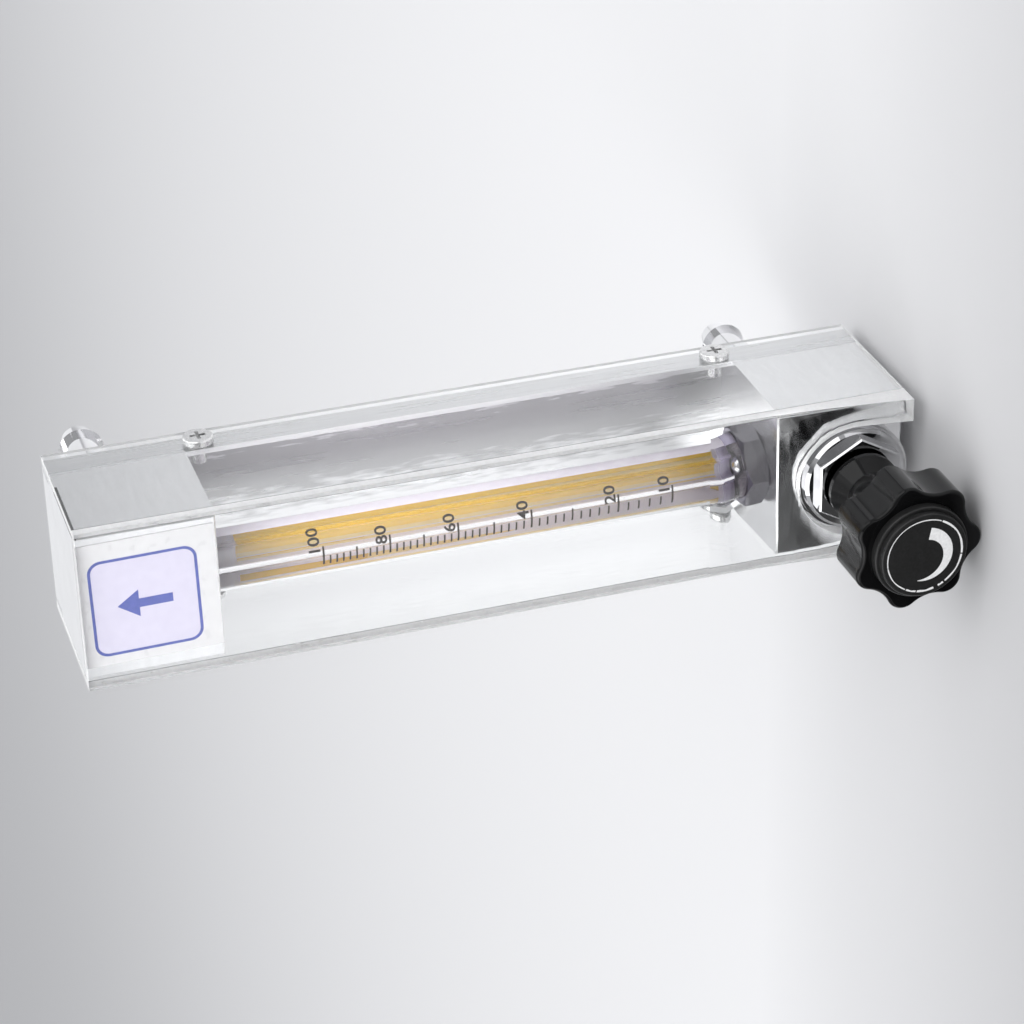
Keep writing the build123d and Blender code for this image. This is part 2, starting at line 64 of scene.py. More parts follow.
# %% Camera
view_azimuth = 30.3056
view_elevation = 14.9706
view_roll = -99.9811
view_distance = 579.546
view_aim = Vector((0.0, -2.363, 76.160))

swung = Matrix.Rotation(math.radians(view_azimuth), 3, "Z")
tipped = Matrix.Rotation(math.radians(90 - view_elevation), 3, "X")
rolled_over = Matrix.Rotation(math.radians(view_roll), 3, "Z")
camera_turn = swung @ tipped @ rolled_over
camera_place = view_aim + camera_turn @ Vector((0, 0, view_distance))

camera_data = bpy.data.cameras.new("photo_camera")
camera_data.sensor_width = 36.0
camera_data.lens = 108.34
camera_data.clip_start = 0.01
camera = bpy.data.objects.new("photo_camera", camera_data)
camera.matrix_world = Matrix.Translation(camera_place * MM) @ camera_turn.to_4x4()
bpy.context.scene.collection.objects.link(camera)
bpy.context.scene.camera = camera
print("Camera in mm:", [round(v, 1) for v in camera_place])

# %% [markdown]
# Light passes many clear walls here: the cover, the tube's wall, its bore, and all of them again on the
# way back. Each wall costs a bounce, and a ray that runs out of bounces ends black, so the limits are
# raised. The Standard view shows a colour as it was written.

# %% Render limits and view
scene = bpy.context.scene
scene.view_settings.view_transform = "Standard"
scene.cycles.max_bounces = 24
scene.cycles.glossy_bounces = 12
scene.cycles.transmission_bounces = 24
print("Bounces:", scene.cycles.max_bounces)

# %% [markdown]
# Clear plastic and chrome show their surroundings more than themselves, so the light comes first. A pale
# world fills the shadows, and is darker on the side that the meter faces. Noise lays a few dark patches
# over it. They show up in the chrome, which would look like plastic in an even white room. Both need a
# colour that follows a number, which a colour ramp gives.

# %% Two tones


def two_tones(tree, source, dark, light, start, end):
    """A colour that runs from dark to light as the source goes from start to end."""
    ramp = tree.nodes.new("ShaderNodeValToRGB")
    ramp.color_ramp.elements[0].position = start
    ramp.color_ramp.elements[0].color = (*dark, 1)
    ramp.color_ramp.elements[1].position = end
    ramp.color_ramp.elements[1].color = (*light, 1)
    tree.links.new(source, ramp.inputs["Fac"])
    return ramp.outputs["Color"]


# %% World
world = bpy.data.worlds.new("studio")
world.use_nodes = True
scene.world = world
sky_tree = world.node_tree
sky = sky_tree.nodes["Background"]
sky.inputs["Strength"].default_value = 1.0
sky_coords = sky_tree.nodes.new("ShaderNodeTexCoord")
sky_axes = sky_tree.nodes.new("ShaderNodeSeparateXYZ")
sky_tree.links.new(sky_coords.outputs["Generated"], sky_axes.inputs["Vector"])
front_to_back = sky_tree.nodes.new("ShaderNodeMapRange")
front_to_back.inputs["From Min"].default_value = -1.0
sky_tree.links.new(sky_axes.outputs["Y"], front_to_back.inputs["Value"])
sky_patches = sky_tree.nodes.new("ShaderNodeTexNoise")
sky_patches.inputs["Scale"].default_value = 1.5
sky_patches.inputs["Detail"].default_value = 1.0
sky_tree.links.new(sky_coords.outputs["Generated"], sky_patches.inputs["Vector"])

room_tone = two_tones(
    sky_tree, front_to_back.outputs["Result"], (0.36, 0.365, 0.37), (0.93, 0.94, 0.96), start=0.0, end=0.62
)
patch_tone = two_tones(
    sky_tree, sky_patches.outputs["Fac"], (0.4, 0.4, 0.41), (1, 1, 1), start=0.36, end=0.48
)
sky_mix = sky_tree.nodes.new("ShaderNodeVectorMath")
sky_mix.operation = "MULTIPLY"
sky_tree.links.new(room_tone, sky_mix.inputs[0])
sky_tree.links.new(patch_tone, sky_mix.inputs[1])
sky_tree.links.new(sky_mix.outputs["Vector"], sky.inputs["Color"])
print("World nodes:", len(sky_tree.nodes))

# %% [markdown]
# Large soft lamps give the long highlights on the plates and the knob. Each is a wide square that faces
# the middle of the meter. The front lamp stands high up, because from lower down its double reflection
# in the channel and the blocks would reach the camera as a white glare.

# %% Lamps
lamp_target = Vector((0, 0, 0.08))


def softbox(name, place, width, power):
    """A soft square lamp that faces the meter, with its place and width in metres."""
    lamp = bpy.data.lights.new(name, "AREA")
    lamp.shape = "RECTANGLE"
    lamp.size = width
    lamp.size_y = width
    lamp.energy = power
    holder = bpy.data.objects.new(name, lamp)
    towards_meter = (lamp_target - Vector(place)).to_track_quat("-Z", "Y")
    holder.matrix_world = Matrix.Translation(place) @ towards_meter.to_matrix().to_4x4()
    scene.collection.objects.link(holder)
    print("Lamp:", name, "at", place, "with", power, "W")


softbox("key", (1.0, -0.45, 0.75), 1.2, 7.5)
softbox("overhead", (0.2, 0.3, 1.1), 1.4, 5.5)
softbox("front", (-0.6, -0.85, 0.85), 1.2, 10.5)

# %% [markdown]
# Materials are built from nodes. Each one starts from a Principled shader, and its marks come from noise
# read in Object coordinates, in metres, so they stay on the part when it moves. A small class holds the
# steps that every finish shares, such as stretched noise for drawn metal.

# %% Steps of a finish


class Finish:
    """A material with its Principled shader and a few ways to drive it."""

    # A Mix node has sockets for numbers, vectors and colours. These are the places of the colour ones.
    mix_colours = (6, 7)
    mix_result = 2

    def __init__(self, name, **values):
        self.material = bpy.data.materials.new(name)
        self.material.use_nodes = True
        self.tree = self.material.node_tree
        self.shader = self.tree.nodes["Principled BSDF"]
        self.coords = self.tree.nodes.new("ShaderNodeTexCoord")
        for socket, value in values.items():
            self.shader.inputs[socket.replace("_", " ")].default_value = value

    def link(self, start, end):
        """Join two sockets."""
        self.tree.links.new(start, end)

    def feed(self, socket, source):
        """Drive one of the shader's sockets."""
        self.link(source, self.shader.inputs[socket])

    def noise(self, scale, stretch=(1, 1, 1), detail=4.0):
        """Noise with about `scale` marks to a metre, stretched by dividing an axis."""
        mapping = self.tree.nodes.new("ShaderNodeMapping")
        mapping.inputs["Scale"].default_value = [1 / s for s in stretch]
        self.link(self.coords.outputs["Object"], mapping.inputs["Vector"])
        noise = self.tree.nodes.new("ShaderNodeTexNoise")
        noise.inputs["Scale"].default_value = scale
        noise.inputs["Detail"].default_value = detail
        self.link(mapping.outputs["Vector"], noise.inputs["Vector"])
        return noise.outputs["Fac"]

    def axis(self, kind, letter):
        """X, Y or Z of the Object or Normal coordinates."""
        split = self.tree.nodes.new("ShaderNodeSeparateXYZ")
        self.link(self.coords.outputs[kind], split.inputs["Vector"])
        return split.outputs[letter]

    def spread(self, source, low, high, start=0.3, end=0.7):
        """Run from low to high as the source goes from start to end."""
        remap = self.tree.nodes.new("ShaderNodeMapRange")
        remap.inputs["From Min"].default_value = start
        remap.inputs["From Max"].default_value = end
        remap.inputs["To Min"].default_value = low
        remap.inputs["To Max"].default_value = high
        self.link(source, remap.inputs["Value"])
        return remap.outputs["Result"]

    def tones(self, source, dark, light, start=0.3, end=0.7):
        """A colour that runs from dark to light with the source."""
        return two_tones(self.tree, source, dark, light, start, end)

    def either(self, factor, off, on):
        """The colour off where the factor is 0, and on where it is 1."""
        mix = self.tree.nodes.new("ShaderNodeMix")
        mix.data_type = "RGBA"
        mix.clamp_factor = True
        self.link(factor, mix.inputs["Factor"])
        for colour, place in zip((off, on), self.mix_colours):
            self.link(colour, mix.inputs[place])
        return mix.outputs[self.mix_result]

    def relief(self, source, depth):
        """Bumps as deep as depth, in metres, on the shader's normal."""
        bump = self.tree.nodes.new("ShaderNodeBump")
        bump.inputs["Distance"].default_value = depth
        bump.inputs["Strength"].default_value = 1.0
        self.link(source, bump.inputs["Height"])
        self.feed("Normal", bump.outputs["Normal"])


def dress(material, *names):
    """Put a finish on CAD nodes."""
    for name in names:
        for place in nodes[name].material_slots:
            place.material = material
    print(material.name, "on", ", ".join(names))


# %% [markdown]
# The channel is a folded strip of polished steel, whose rolling marks run along the meter. Its inner face
# mirrors its surroundings as long bright and dark bands, which waver because the sheet isn't quite flat.
# This scene has no such surroundings, so the bands are painted: the place across the channel, shifted by
# a stretched noise, picks a tone from a ramp. The outer faces keep the plain rolled steel.

# %% Channel finish
channel_finish = Finish("channel_steel", Metallic=1.0)
rolling_marks = channel_finish.noise(900, (1, 1, 30))
band_waver = channel_finish.spread(channel_finish.noise(1300, (1, 1, 7), detail=8.0), -0.0026, 0.0026)
wavering_x = channel_finish.tree.nodes.new("ShaderNodeMath")
channel_finish.link(channel_finish.axis("Object", "X"), wavering_x.inputs[0])
channel_finish.link(band_waver, wavering_x.inputs[1])
across_channel = channel_finish.spread(wavering_x.outputs["Value"], 0.0, 1.0, start=-0.016, end=0.016)

bands = channel_finish.tree.nodes.new("ShaderNodeValToRGB")
bands.color_ramp.elements[0].position = 0.4
bands.color_ramp.elements[0].color = (0.92, 0.92, 0.93, 1)
bands.color_ramp.elements[1].color = (0.84, 0.84, 0.85, 1)
for place, tone in ((0.55, 0.5), (0.83, 0.54), (0.87, 0.9)):
    bands.color_ramp.elements.new(place).color = (tone, tone, tone * 1.01, 1)
channel_finish.link(across_channel, bands.inputs["Fac"])

plain_steel = channel_finish.tones(rolling_marks, (0.66, 0.66, 0.67), (0.74, 0.74, 0.75))
inner_face = channel_finish.spread(channel_finish.axis("Normal", "Y"), 1.0, 0.0, start=-0.9, end=-0.5)
channel_finish.feed("Base Color", channel_finish.either(inner_face, plain_steel, bands.outputs["Color"]))
channel_finish.feed("Roughness", channel_finish.spread(rolling_marks, 0.26, 0.32))
channel_finish.relief(rolling_marks, 0.0000015)
dress(channel_finish.material, "back_channel")

# %% [markdown]
# The blocks are milled and then satin ground on their sides, while the front is polished and mirrors the
# floor. The face's own direction tells the two apart: where its normal looks along -Y the roughness
# drops. The clamp screw is a dark nickel, and its upper face, next to the tube, gets painted shade: the
# colour darkens as the face's normal turns up.

# %% Block and clamp finishes
block_finish = Finish("block_metal", Metallic=1.0)
grinding_marks = block_finish.noise(900, (6, 6, 1))
block_finish.feed("Base Color", block_finish.tones(grinding_marks, (0.77, 0.77, 0.78), (0.81, 0.81, 0.82)))
block_roughness = block_finish.spread(block_finish.axis("Normal", "Y"), 0.07, 0.27, start=-0.9, end=-0.5)
block_finish.feed("Roughness", block_roughness)
block_finish.relief(block_finish.noise(1800, (6, 6, 1)), 0.0000006)
dress(block_finish.material, "lower_block", "upper_block")

clamp_finish = Finish("clamp_nickel_and_shade", Metallic=1.0)
# Painted shade: faces whose normal looks up are darker.
painted_shade_up = clamp_finish.spread(clamp_finish.axis("Normal", "Z"), 0.0, 1.0, start=0.2, end=0.7)
clamp_tone_and_shade = clamp_finish.tones(painted_shade_up, (0.26, 0.25, 0.27), (0.1, 0.09, 0.12), start=0, end=1)
clamp_finish.feed("Base Color", clamp_tone_and_shade)
clamp_finish.feed("Roughness", clamp_finish.spread(clamp_finish.noise(300), 0.1, 0.2))
clamp_finish.relief(clamp_finish.noise(600), 0.000004)
dress(clamp_finish.material, "tube_clamp_screw")

# %% [markdown]
# The collar, nuts and hose tails are plated and bright, the screws are duller, and the stem shows the
# marks of turning. One recipe serves all of them, because what differs is the tone, and the direction,
# size and depth of the marks.

# %% Turned and plated metals


def metal(name, dark, light, rough, grain, depth, stretch=(1, 1, 1)):
    """A bare or plated metal: streaks in its colour and roughness, and a shallow relief."""
    finish = Finish(name, Metallic=1.0)
    streaks = finish.noise(grain, stretch)
    finish.feed("Base Color", finish.tones(streaks, dark, light))
    finish.feed("Roughness", finish.spread(streaks, *rough))
    finish.relief(finish.noise(grain * 2, stretch), depth)
    return finish.material


def grey(tone):
    """An even grey."""
    return (tone, tone, tone)


plated_brass = metal(
    "plated_brass", (0.8, 0.8, 0.81), (0.86, 0.86, 0.87), rough=(0.03, 0.08), grain=220, depth=0.000004
)
chrome_plate = metal(
    "chrome_plate", (0.5, 0.5, 0.51), (0.6, 0.6, 0.61), rough=(0.02, 0.06), grain=220, depth=0.000004
)
screw_steel = metal("screw_steel", grey(0.62), grey(0.78), rough=(0.18, 0.34), grain=1200, depth=0.000004)
stem_steel = metal(
    "stem_steel", (0.55, 0.55, 0.56), (0.66, 0.66, 0.67), rough=(0.18, 0.3), grain=1500, depth=0.000002,
    stretch=(8, 1, 8),
)
float_steel = metal(
    "float_steel", (0.58, 0.58, 0.6), (0.64, 0.64, 0.66), rough=(0.04, 0.12), grain=900, depth=0.000001
)

dress(chrome_plate, "valve_flange", "valve_nut", "valve_bonnet")
dress(plated_brass, "inlet_hose_tail", "outlet_hose_tail")
dress(screw_steel, "cover_screws_right", "cover_screws_left", "lower_block_screws", "upper_block_screws")
dress(stem_steel, "needle_stem", "knob_grub_screw")
dress(float_steel, "float_ball")

# %% [markdown]
# The seals are black rubber, the seat is turned from white plastic, and the knob is a gloss black
# moulding. Black gloss needs very little: a near-black colour, a low roughness and the faintest ripple
# that moulding leaves. The same recipe makes every solid plastic, film, enamel and ink on the meter.

# %% Plastic and rubber finishes


def painted(name, dark, light, rough, grain, depth=0.00001, **values):
    """A solid plastic, rubber, film or ink, with slight cloudiness and a fine relief."""
    finish = Finish(name, **values)
    cloud = finish.noise(grain)
    finish.feed("Base Color", finish.tones(cloud, dark, light))
    finish.feed("Roughness", finish.spread(cloud, *rough))
    finish.relief(finish.noise(grain * 4), depth)
    return finish.material


seal_rubber = painted("seal_rubber", grey(0.02), grey(0.04), rough=(0.6, 0.8), grain=1500)
seat_plastic = painted("seat_plastic", (0.82, 0.82, 0.8), (0.9, 0.9, 0.88), rough=(0.35, 0.5), grain=800)
knob_black = painted(
    "knob_black", (0.002, 0.002, 0.0022), (0.004, 0.004, 0.0044), rough=(0.05, 0.1), grain=300,
    depth=0.000003, Specular_IOR_Level=0.22,
)
cap_black = painted(
    "cap_black", grey(0.012), grey(0.018), rough=(0.3, 0.4), grain=2200, depth=0.000006,
    Specular_IOR_Level=0.3,
)

dress(seal_rubber, "lower_tube_gasket", "upper_tube_gasket", "upper_tube_seal", "bonnet_gasket")
dress(seal_rubber, "stem_seal_ring", "inlet_gasket", "outlet_gasket")
dress(seat_plastic, "valve_seat")
dress(knob_black, "knob")
dress(cap_black, "knob_cap")

# %% [markdown]
# Clear plastic and glass bend light, which a Transmission weight does. Path tracing finds a lamp through
# a bending wall only by luck, so for shadow rays the wall is plainly transparent, and the lamps reach
# what stands behind it. A little dust, given as roughness, keeps the surface itself in sight.

# %% Clear finishes


def clear(name, tint, ior, rough):
    """Clear glass or plastic that lets the lamps through to what is behind it."""
    finish = Finish(name, Base_Color=(*tint, 1), Transmission_Weight=1.0, IOR=ior)
    finish.feed("Roughness", finish.spread(finish.noise(900, detail=6.0), *rough, start=0.55, end=0.8))
    path = finish.tree.nodes.new("ShaderNodeLightPath")
    passing = finish.tree.nodes.new("ShaderNodeBsdfTransparent")
    passing.inputs["Color"].default_value = (*tint, 1)
    mix = finish.tree.nodes.new("ShaderNodeMixShader")
    finish.link(path.outputs["Is Shadow Ray"], mix.inputs["Fac"])
    finish.link(finish.shader.outputs["BSDF"], mix.inputs[1])
    finish.link(passing.outputs["BSDF"], mix.inputs[2])
    finish.link(mix.outputs["Shader"], finish.tree.nodes["Material Output"].inputs["Surface"])
    return finish.material


clear_stop = clear("clear_stop", (0.93, 0.93, 0.95), ior=1.45, rough=(0.15, 0.35))
clear_acrylic = clear("clear_acrylic", (0.985, 0.99, 0.988), ior=1.49, rough=(0.0, 0.06))
tube_glass = clear("tube_glass", (0.985, 0.98, 0.99), ior=1.48, rough=(0.0, 0.03))
dress(clear_stop, "lower_float_stop", "upper_float_stop")

# %% [markdown]
# Every new shape follows the same few steps: fill a bmesh, turn it into a mesh, put that in an object at
# the origin, smooth it, and say which CAD body it moves with. One helper takes them all, and keeps the
# cells after it short.

# %% A new piece


def piece(name, shape, material, body="meter", smooth=False, stands_for=()):
    """Turn a bmesh, in millimetres, into a finished piece that rides on a CAD body."""
    bmesh.ops.scale(shape, vec=(MM, MM, MM), verts=shape.verts)
    mesh = bpy.data.meshes.new(name)
    shape.to_mesh(mesh)
    shape.free()
    mesh.materials.append(material)
    if smooth:
        mesh.shade_smooth()
    made = bpy.data.objects.new(name, mesh)
    scene.collection.objects.link(made)
    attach(made, body)
    if stands_for:
        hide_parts(*stands_for)
    print(name, "has", len(mesh.polygons), "faces")
    return made


# %% [markdown]
# The cover is three polished acrylic plates glued edge to edge. Their outlines are right in the CAD
# model, but a real plate has a small polished edge that catches the light, and its narrow sides are sawn
# and frosted. So each plate starts as a copy of its node, with its triangles joined and its flat faces
# merged, and a Bevel modifier rounds its edges.

# %% A cover plate
sawn_edge = painted(
    "sawn_edge", (0.86, 0.86, 0.87), grey(0.97), rough=(0.3, 0.5), grain=1500, depth=0.000012,
    Transmission_Weight=0.45, IOR=1.49,
)
merge_distance = 0.0005
flat_angle = math.radians(0.5)
bevel_angle = math.radians(40)
facing_share = 0.9


def joined_copy(node):
    """A node's mesh in millimetres, with its corners merged and its flat faces joined."""
    shape = bmesh.new()
    shape.from_mesh(nodes[node].data)
    bmesh.ops.scale(shape, vec=(1 / MM, 1 / MM, 1 / MM), verts=shape.verts)
    bmesh.ops.remove_doubles(shape, verts=shape.verts, dist=merge_distance)
    bmesh.ops.dissolve_limit(shape, angle_limit=flat_angle, verts=shape.verts, edges=shape.edges)
    return shape


def plate(name, shape, thickness_axis, edge_radius, node):
    """A clear plate with sawn sides and small rounded edges. Its thickness is along axis 0, 1 or 2."""
    made = piece(name, shape, clear_acrylic, stands_for=[node])
    made.data.materials.append(sawn_edge)
    for face in made.data.polygons:
        face.material_index = 0 if abs(face.normal[thickness_axis]) > facing_share else 1
    rounding = made.modifiers.new("rounded_edges", "BEVEL")
    rounding.width = edge_radius * MM
    rounding.segments = 2
    rounding.limit_method = "ANGLE"
    rounding.angle_limit = bevel_angle
    rounding.harden_normals = True


front_edge_radius = 0.2
front_shape = joined_copy("cover_front_plate")
plate("front_plate", front_shape, 1, front_edge_radius, "cover_front_plate")

# %% [markdown]
# Glass that only touches glass shows as a mirror, because a ray finds two surfaces in one place. So the
# side plates are nudged a hair into the front plate, where they are glued, and a hair away from the metal
# that they lie on.

# %% Side plates
side_edge_radius = 0.15
glue_overlap = 0.05
air_film = 0.02
half_width = box_mm("cover_front_plate")[1].x
wall_low, wall_high = box_mm("cover_right_plate")
wall_inner_x = wall_low.x
wall_inner_y = wall_low.y
cover_top_z = wall_high.z

for node in ("cover_right_plate", "cover_left_plate"):
    side_shape = joined_copy(node)
    for corner in side_shape.verts:
        outside = abs(corner.co.x) > half_width - air_film
        corner.co.x += math.copysign(air_film, corner.co.x) * (-1 if outside else 1)
        if corner.co.y < wall_inner_y + air_film:
            corner.co.y -= glue_overlap
    plate(node.replace("cover_", ""), side_shape, 0, side_edge_radius, node)

# %% [markdown]
# The solvent that bonds the plates leaves rows of small flat bubbles along the joints. Seeded random
# numbers scatter them, so that they land in the same places each time.

# %% Bond bubbles
bubble_sizes = (0.12, 0.2, 0.35)
bubble_steps = (0.7, 1.1, 2.4, 5.0)
bubble_width = 0.7
bubble_thickness = 0.08
bubble_stretch = (1.0, 2.6)
bubble_inset = (0.2, 1.3)
bubble_y = wall_inner_y - 0.12
bubble_margin = 2.0
random.seed(7)
bubbles = bmesh.new()
for side in (-1, 1):
    height = bubble_margin
    while height < cover_top_z - bubble_margin:
        blob = bmesh.ops.create_icosphere(bubbles, subdivisions=1, radius=1.0)["verts"]
        size = random.choice(bubble_sizes)
        stretched = (size * bubble_width, bubble_thickness, size * random.uniform(*bubble_stretch))
        bmesh.ops.scale(bubbles, vec=stretched, verts=blob)
        place = (side * (half_width - random.uniform(*bubble_inset)), bubble_y, height)
        bmesh.ops.translate(bubbles, vec=place, verts=blob)
        height += random.choice(bubble_steps)
piece("bond_bubbles", bubbles, sawn_edge, smooth=True)

# %% [markdown]
# From the front, a bonded joint is a whitish band as wide as the side plate's edge, with a thin darker
# line along its inner side, where the bond ends. Both are films inside the front plate, so each is a
# flat box that lies just under the joint.

# %% Bond films
bond_white = painted(
    "bond_white", (0.8, 0.8, 0.81), grey(0.96), rough=(0.3, 0.5), grain=300, depth=0.000004
)
bond_shade = painted(
    "bond_shade", (0.2, 0.2, 0.21), (0.3, 0.3, 0.31), rough=(0.4, 0.5), grain=300, depth=0.000004
)
film_front_y = wall_inner_y - 0.035
film_back_y = wall_inner_y - 0.01
film_foot_z = 0.3
film_top_z = cover_top_z - 0.3
shade_inner_x = wall_inner_x + 0.02
white_inner_x = wall_inner_x + 0.15
white_outer_x = half_width - 0.15


def bar(shape, low, high):
    """Add a box between two corners."""
    corners = bmesh.ops.create_cube(shape, size=1.0)["verts"]
    for corner in corners:
        corner.co = [a + (c + 0.5) * (b - a) for a, b, c in zip(low, high, corner.co)]


def pair_of_films(name, inner_x, outer_x, material):
    """A film in the joint on each side."""
    films = bmesh.new()
    for side in (-1, 1):
        bar(films, (side * inner_x, film_front_y, film_foot_z), (side * outer_x, film_back_y, film_top_z))
    bmesh.ops.recalc_face_normals(films, faces=films.faces)
    piece(name, films, material)


pair_of_films("bond_films", white_inner_x, white_outer_x, bond_white)
pair_of_films("bond_edge_lines", shade_inner_x, white_inner_x, bond_shade)

# %% [markdown]
# Between the right wall and the upper block is a sliver of air, which light hardly reaches. A thin black
# box at its open end is painted shade there, and draws a fine black line along the edge.

# %% Gap shadow
shadow_back_y = 8.0
shadow_low = (wall_inner_x - 0.19, wall_inner_y + 0.1, cover_top_z - 0.7)
shadow_high = (wall_inner_x - 0.01, shadow_back_y, cover_top_z - 0.02)
# A black box in the gap, as painted shade.
gap_shadow = bmesh.new()
bar(gap_shadow, shadow_low, shadow_high)
piece("painted_gap_shadow", gap_shadow, seal_rubber)

# %% [markdown]
# The meter tube is thick precision glass. The CAD tube is made of flat facets, and each one would bend
# the light its own way, so this one is a fine spin of the same outline: its corners, turned round the
# axis in many steps.

# %% Glass tube
tube_low, tube_high = box_mm("glass_tube")
tube_radius = tube_high.x
bore_foot_radius = 1.56
bore_top_radius = 2.0
tube_chamfer = 0.4
tube_steps = 160
tube_corner_angle = math.radians(35)


def spun(outline, steps):
    """Turn a closed outline of (radius, height) points round the tube's axis."""
    shape = bmesh.new()
    corners = [shape.verts.new((radius, 0, z)) for radius, z in outline]
    edges = [shape.edges.new(pair) for pair in zip(corners, corners[1:] + corners[:1])]
    bmesh.ops.spin(
        shape, geom=corners + edges, cent=(0, 0, 0), axis=(0, 0, 1), angle=2 * math.pi, steps=steps,
        use_merge=True,
    )
    bmesh.ops.recalc_face_normals(shape, faces=shape.faces)
    return shape


tube_outline = [
    (bore_foot_radius, tube_low.z),
    (tube_radius - tube_chamfer, tube_low.z),
    (tube_radius, tube_low.z + tube_chamfer),
    (tube_radius, tube_high.z - tube_chamfer),
    (tube_radius - tube_chamfer, tube_high.z),
    (bore_top_radius, tube_high.z),
]
tube_shape = spun(tube_outline, tube_steps)
tube = piece("meter_tube", tube_shape, tube_glass, smooth=True, stands_for=["glass_tube"])
tube.data.set_sharp_from_angle(angle=tube_corner_angle)

# %% [markdown]
# All the print and enamel of the tube is curved with it. A flat grid is simple to make and to size, so
# each mark starts as one: it gets a thickness by extruding, and then its width becomes an angle round
# the tube and its thickness a radius.

# %% Strips bent round the tube


def merge_into(target, source):
    """Add one bmesh to another."""
    carried = bpy.data.meshes.new("carried")
    source.to_mesh(carried)
    source.free()
    target.from_mesh(carried)
    bpy.data.meshes.remove(carried)


def thickened(shape, step):
    """Extrude all faces of a flat shape by a step."""
    grown = bmesh.ops.extrude_face_region(shape, geom=shape.faces[:])["geom"]
    raised = [part for part in grown if isinstance(part, bmesh.types.BMVert)]
    bmesh.ops.translate(shape, vec=step, verts=raised)


def on_tube(radius, angle, height):
    """A place on the tube: its angle is measured from the front, towards +X."""
    return (radius * math.sin(angle), -radius * math.cos(angle), height)


def bent_strip(width, middle, foot_z, top_z, inner, outer, columns):
    """A strip on the tube, with its width and its middle in degrees."""
    shape = bmesh.new()
    bmesh.ops.create_grid(shape, x_segments=columns, y_segments=1, size=0.5)
    thickened(shape, (0, 0, 1))
    for corner in shape.verts:
        along, up, out = corner.co
        height = foot_z + (up + 0.5) * (top_z - foot_z)
        corner.co = on_tube(inner + out * (outer - inner), math.radians(middle + along * width), height)
    bmesh.ops.recalc_face_normals(shape, faces=shape.faces)
    return shape


print("Tube radius in mm:", round(tube_radius, 2))

# %% [markdown]
# The yellow stripe lies on the back of the tube, and beside it are narrower bands. The glass spreads them
# over the tube's whole width. Some bands are yellow with a painted highlight: a paler yellow stands in for
# the lamps' reflection, which washes the yellow out there. A hair of air is left between the enamel and
# the glass, because enamel that touches the glass sends half of its light along inside the wall, and then
# looks brown. The thin band is yellow at the top and carries the painted highlight below that, and it ends
# well above the foot. Each band is given by its width and its middle, in degrees.

# %% Reading stripe
yellow_enamel = painted(
    "yellow_enamel", (0.99, 0.6, 0.02), (1.0, 0.64, 0.03), rough=(0.25, 0.4), grain=400,
    depth=0.000003, Specular_IOR_Level=0.0,
)
# A paler yellow, as a painted highlight on the enamel.
painted_highlight_yellow = painted(
    "painted_highlight_yellow", (0.99, 0.73, 0.27), (1.0, 0.78, 0.32), rough=(0.25, 0.4), grain=400,
    depth=0.000003, Specular_IOR_Level=0.0,
)
stripe_foot_z, stripe_top_z = (corner.z for corner in box_mm("reading_stripe"))
highlight_foot_z = 52.0
highlight_top_z = 104.0
enamel_wall = (tube_radius + 0.015, tube_radius + 0.06)
main_band = (92.5, 154.25)
highlight_band = (17.0, 209.0)
thin_band = (4.4, 223.7)
outer_highlight_band = (10.0, 231.2)

stripe_shape = bent_strip(*main_band, stripe_foot_z, stripe_top_z, *enamel_wall, columns=46)
merge_into(stripe_shape, bent_strip(*thin_band, highlight_top_z, stripe_top_z, *enamel_wall, columns=4))
piece(
    "yellow_stripe", stripe_shape, yellow_enamel, smooth=True,
    stands_for=["reading_stripe"],
)

# The paler bands: the yellow with a painted highlight.
highlight_shape = bent_strip(*highlight_band, stripe_foot_z, stripe_top_z, *enamel_wall, columns=12)
merge_into(highlight_shape, bent_strip(*outer_highlight_band, stripe_foot_z, stripe_top_z, *enamel_wall, columns=6))
merge_into(highlight_shape, bent_strip(*thin_band, highlight_foot_z, highlight_top_z, *enamel_wall, columns=4))
piece("painted_highlight_stripe", highlight_shape, painted_highlight_yellow, smooth=True)

# %% [markdown]
# Behind the stripe is a white coat, which keeps the back of the meter from showing through. The tube's
# foot, down to the clamp screw, has a dark lilac strip as painted shade, since bare glass there would
# shine as a bright ring. Both are wider bent strips, a little further out than the stripe.

# %% White coat and foot shade
white_enamel = painted(
    "white_enamel", (0.9, 0.83, 0.93), (0.95, 0.89, 0.97), rough=(0.3, 0.5), grain=400, depth=0.000003
)
# Dark lilac, as painted shade at the tube's foot.
foot_painted_shade = painted(
    "foot_painted_shade", (0.3, 0.27, 0.37), (0.42, 0.38, 0.5), rough=(0.3, 0.5), grain=250, depth=0.000003
)
clamp_top_z = box_mm("tube_clamp_screw")[1].z
coat_gap = 0.05
white_foot_z = 33.0
white_top_z = cover_top_z - 24.5
white_band = (192.0, 172.0)
white_wall = (tube_radius + 0.07, tube_radius + 0.13)
foot_span = (clamp_top_z + coat_gap, white_foot_z - coat_gap)
foot_band = (210.0, 180.0)
foot_wall = (tube_radius + 0.03, tube_radius + 0.1)

backing_shape = bent_strip(*white_band, white_foot_z, white_top_z, *white_wall, columns=90)
piece("white_backing", backing_shape, white_enamel, smooth=True)
foot_shape = bent_strip(*foot_band, *foot_span, *foot_wall, columns=90)
piece("foot_shade_strip", foot_shape, foot_painted_shade, smooth=True)

# %% [markdown]
# A cut tube has its two ends ground flat, and ground glass is white. What the eye sees down the length of
# the wall is these ends, so they brighten the whole tube. Each is a thin ring just inside an end.

